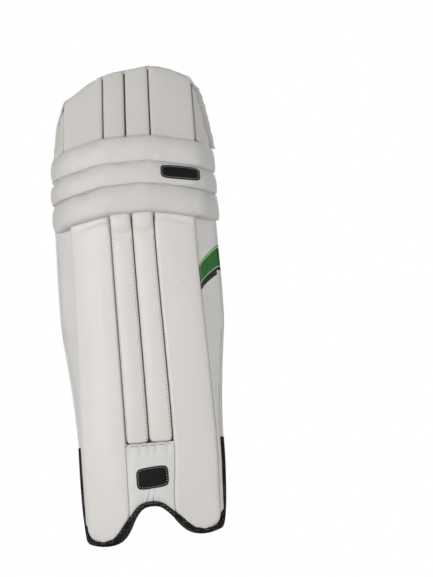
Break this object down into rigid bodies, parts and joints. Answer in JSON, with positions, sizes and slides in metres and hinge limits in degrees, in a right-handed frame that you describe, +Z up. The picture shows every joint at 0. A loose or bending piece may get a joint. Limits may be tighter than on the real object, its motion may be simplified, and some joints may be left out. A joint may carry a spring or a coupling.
{
  "type": "cricket leg pad",
  "caption": "Batting leg pad with upright shin panels, three knee rolls, a leaning top hat, side wings and three straps.",
  "frame": {"origin": "under the middle of the pad's box, on the surface that the lower lobe stands on", "axes": "+Z up the shin, -Y out of the front face, +X towards the side with the taller top hat"},
  "size_m": [0.2288, 0.1118, 0.6979],
  "materials": {
    "leathercloth": "soft satin",
    "wing_cloth": "soft satin",
    "foam": "matte",
    "cane": "bare",
    "board": "matte",
    "lining": "brushed",
    "dark_binding": "woven",
    "white_binding": "woven",
    "webbing": "woven, striped",
    "loop_tape": "looped pile"
  },
  "bodies": {
    "shin": {"narrow_cover_left": "leathercloth", "narrow_cover_right": "leathercloth", "wide_cover_left": "leathercloth", "wide_cover_right": "leathercloth", "instep_patch": "leathercloth", "wing_left": "wing_cloth", "wing_right": "wing_cloth", "narrow_core_left": "foam", "narrow_core_right": "foam", "wide_core_left": "foam", "wide_core_right": "foam", "instep_foam": "foam", "inner_bolster_left": "foam", "inner_bolster_right": "foam", "canes": "cane", "shin_board_middle": "board", "shin_board_left": "board", "shin_board_right": "board", "shin_lining": "lining", "foot_binding": "dark_binding", "heel_binding_left": "dark_binding", "heel_binding_right": "dark_binding", "side_binding_left": "white_binding", "side_binding_right": "white_binding", "calf_strap_root": "webbing", "ankle_strap_root": "webbing", "calf_strap_loop": "loop_tape", "ankle_strap_loop": "loop_tape"},
    "knee": {"knee_roll_cover_lower": "leathercloth", "knee_roll_cover_middle": "leathercloth", "knee_roll_cover_upper": "leathercloth", "knee_roll_core_lower": "foam", "knee_roll_core_middle": "foam", "knee_roll_core_upper": "foam", "knee_cup": "foam", "knee_board": "board", "knee_lining": "lining", "knee_binding_left": "white_binding", "knee_binding_right": "white_binding", "knee_strap_root": "webbing", "knee_strap_loop": "loop_tape"},
    "top_hat": {"hat_narrow_left": "leathercloth", "hat_narrow_right": "leathercloth", "hat_wide_left": "leathercloth", "hat_wide_right": "leathercloth", "hat_wing_left": "leathercloth", "hat_wing_right": "leathercloth", "hat_board": "board", "hat_lining": "lining", "hat_binding_top": "white_binding", "hat_binding_left": "white_binding", "hat_binding_right": "white_binding"},
    "knee_band": {"knee_strap_band": "webbing"},
    "knee_tail": {"knee_strap_end": "webbing"},
    "calf_band": {"calf_strap_band": "webbing"},
    "calf_tail": {"calf_strap_end": "webbing"},
    "ankle_band": {"ankle_strap_band": "webbing"},
    "ankle_tail": {"ankle_strap_end": "webbing"}
  },
  "joints": [
    {"name": "knee_flex", "type": "hinge", "parent": "shin", "child": "knee", "pos_m": [0, 0.03909, 0.473], "axis": [-1, 0, 0], "range_deg": [0, 6], "stiffness_Nm_per_rad": 3},
    {"name": "top_hat_flex", "type": "hinge", "parent": "knee", "child": "top_hat", "pos_m": [0, 0.03909, 0.576], "axis": [-1, 0, 0], "range_deg": [0, 9], "stiffness_Nm_per_rad": 1.5},
    {"name": "knee_strap_swing", "type": "hinge", "parent": "knee", "child": "knee_band", "pos_m": [0.0941, 0.04118, 0.514], "axis": [0, 0, -1], "range_deg": [0, 80], "stiffness_Nm_per_rad": 0.05},
    {"name": "knee_strap_fold", "type": "hinge", "parent": "knee_band", "child": "knee_tail", "pos_m": [0, 0.05591, 0.514], "axis": [0, 0, -1], "range_deg": [0, 24], "stiffness_Nm_per_rad": 0.02},
    {"name": "calf_strap_swing", "type": "hinge", "parent": "shin", "child": "calf_band", "pos_m": [0.0941, 0.04118, 0.372], "axis": [0, 0, -1], "range_deg": [0, 80], "stiffness_Nm_per_rad": 0.05},
    {"name": "calf_strap_fold", "type": "hinge", "parent": "calf_band", "child": "calf_tail", "pos_m": [0, 0.05591, 0.372], "axis": [0, 0, -1], "range_deg": [0, 24], "stiffness_Nm_per_rad": 0.02},
    {"name": "ankle_strap_swing", "type": "hinge", "parent": "shin", "child": "ankle_band", "pos_m": [0.09051, 0.03311, 0.19], "axis": [0, 0, -1], "range_deg": [0, 80], "stiffness_Nm_per_rad": 0.05},
    {"name": "ankle_strap_fold", "type": "hinge", "parent": "ankle_band", "child": "ankle_tail", "pos_m": [0, 0.04784, 0.19], "axis": [0, 0, -1], "range_deg": [0, 24], "stiffness_Nm_per_rad": 0.02}
  ],
  "couplings": [
    {"joint": "knee_strap_fold", "follows": "knee_strap_swing", "ratio": 0.3},
    {"joint": "calf_strap_fold", "follows": "calf_strap_swing", "ratio": 0.3},
    {"joint": "ankle_strap_fold", "follows": "ankle_strap_swing", "ratio": 0.3}
  ]
}
